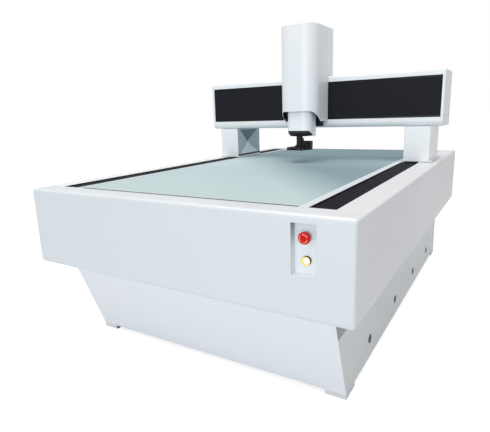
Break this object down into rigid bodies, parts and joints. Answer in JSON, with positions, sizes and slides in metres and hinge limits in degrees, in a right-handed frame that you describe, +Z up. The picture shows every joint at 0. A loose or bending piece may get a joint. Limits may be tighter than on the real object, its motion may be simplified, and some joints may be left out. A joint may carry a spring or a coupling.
{
  "type": "vision measuring machine",
  "caption": "Moving-bridge vision measuring machine: glass stage in a wide white housing, beam on legs, sliding head with a camera ram, lamp ring and front control recess.",
  "frame": {"origin": "on the floor, under the centre of the whole machine's outline", "axes": "+X to the right of an operator at the control recess, +Y to the back along the long side, +Z up"},
  "size_m": [1.473, 2.245, 1.498],
  "materials": {
    "housing_white": "smooth powder coat, cool white, satin",
    "base_white": "smooth powder coat, cool white, satin",
    "bridge_white": "smooth powder coat, neutral white, satin",
    "head_white": "smooth paint, neutral white, satin",
    "frame_grey": "grey frame paint",
    "casting": "machined casting",
    "machined": "anodised",
    "steel": "ground steel",
    "granite": "lapped black stone, opaque",
    "stage_glass": "float glass, pale green-blue",
    "band_black": "woven flat band, satin black",
    "magnet": "ground cover plate",
    "coil": "cast resin",
    "black_plastic": "fine texture, black",
    "black_anodised": "black anodised",
    "light_guide": "milky diffuser",
    "estop_red": "red, semi-gloss",
    "lamp_yellow": "milky yellow lens"
  },
  "bodies": {
    "base": {"foot_pads": "black_plastic", "base_frame": "frame_grey", "base_front_panel": "base_white", "base_left_panel": "base_white", "base_right_panel": "base_white", "base_rear_panel": "base_white", "hole_plugs": "black_plastic", "power_inlet": "black_plastic", "front_cover": "housing_white", "left_cover": "housing_white", "right_cover": "housing_white", "rear_cover": "housing_white", "granite_table": "granite", "granite_supports": "steel", "stage_frame": "machined", "glass_plate": "stage_glass", "backlight_panel": "light_guide", "y_rails": "steel", "y_motor_tracks": "magnet", "y_bands": "band_black", "control_pocket": "housing_white", "estop_collar": "black_plastic", "lamp_bezel": "black_plastic"},
    "gantry": {"y_carriages": "steel", "y_motor_coils": "coil", "leg_upright_left": "casting", "leg_upright_right": "casting", "leg_cover_left": "bridge_white", "leg_cover_right": "bridge_white", "beam_core": "granite", "beam_front_cover": "bridge_white", "beam_rear_cover": "bridge_white", "beam_cap_left": "bridge_white", "beam_cap_right": "bridge_white", "beam_band": "band_black", "x_rails": "steel", "x_motor_track": "magnet"},
    "head": {"x_carriages": "steel", "x_motor_coil": "coil", "x_saddle": "machined", "head_plate": "black_anodised", "z_rails": "steel", "z_motor": "black_anodised", "head_front_cover": "head_white", "head_rear_cover": "head_white"},
    "z_screw": {"z_screw": "steel"},
    "ram": {"z_carriages": "steel", "ram_plate": "machined", "z_nut": "steel", "ram_cover": "head_white", "ram_floor": "black_plastic", "lens_barrel": "black_anodised", "lens_mount": "machined", "camera": "black_anodised", "coaxial_light": "black_anodised", "ring_light_housing": "black_anodised", "ring_light_board": "light_guide"},
    "estop_stem": {"estop_stem": "black_plastic"},
    "estop_head": {"estop_head": "estop_red"},
    "lamp_button": {"lamp_button": "lamp_yellow"}
  },
  "joints": [
    {"name": "gantry_slide", "type": "slide", "parent": "base", "child": "gantry", "axis": [0, 1, 0], "range_m": [-1.14, 0.36]},
    {"name": "head_slide", "type": "slide", "parent": "gantry", "child": "head", "axis": [1, 0, 0], "range_m": [-0.4865, 0.5135]},
    {"name": "ram_slide", "type": "slide", "parent": "head", "child": "ram", "axis": [0, 0, 1], "range_m": [-0.06, 0.14]},
    {"name": "z_screw_spin", "type": "hinge", "parent": "head", "child": "z_screw", "pos_m": [-0.0135, 0.221, 1.2], "axis": [0, 0, 1], "range_deg": [-2190, 5070]},
    {"name": "estop_push", "type": "slide", "parent": "base", "child": "estop_stem", "axis": [0, 1, 0], "range_m": [0, 0.005]},
    {"name": "estop_twist", "type": "hinge", "parent": "estop_stem", "child": "estop_head", "pos_m": [0.5645, -1.1225, 0.665], "axis": [0, 1, 0], "range_deg": [0, 35], "stiffness_Nm_per_rad": 0.05},
    {"name": "lamp_push", "type": "slide", "parent": "base", "child": "lamp_button", "axis": [0, 1, 0], "range_m": [0, 0.003], "stiffness_N_per_m": 800}
  ],
  "couplings": [
    {"joint": "z_screw_spin", "follows": "ram_slide", "rad_per_m": 628.32}
  ]
}
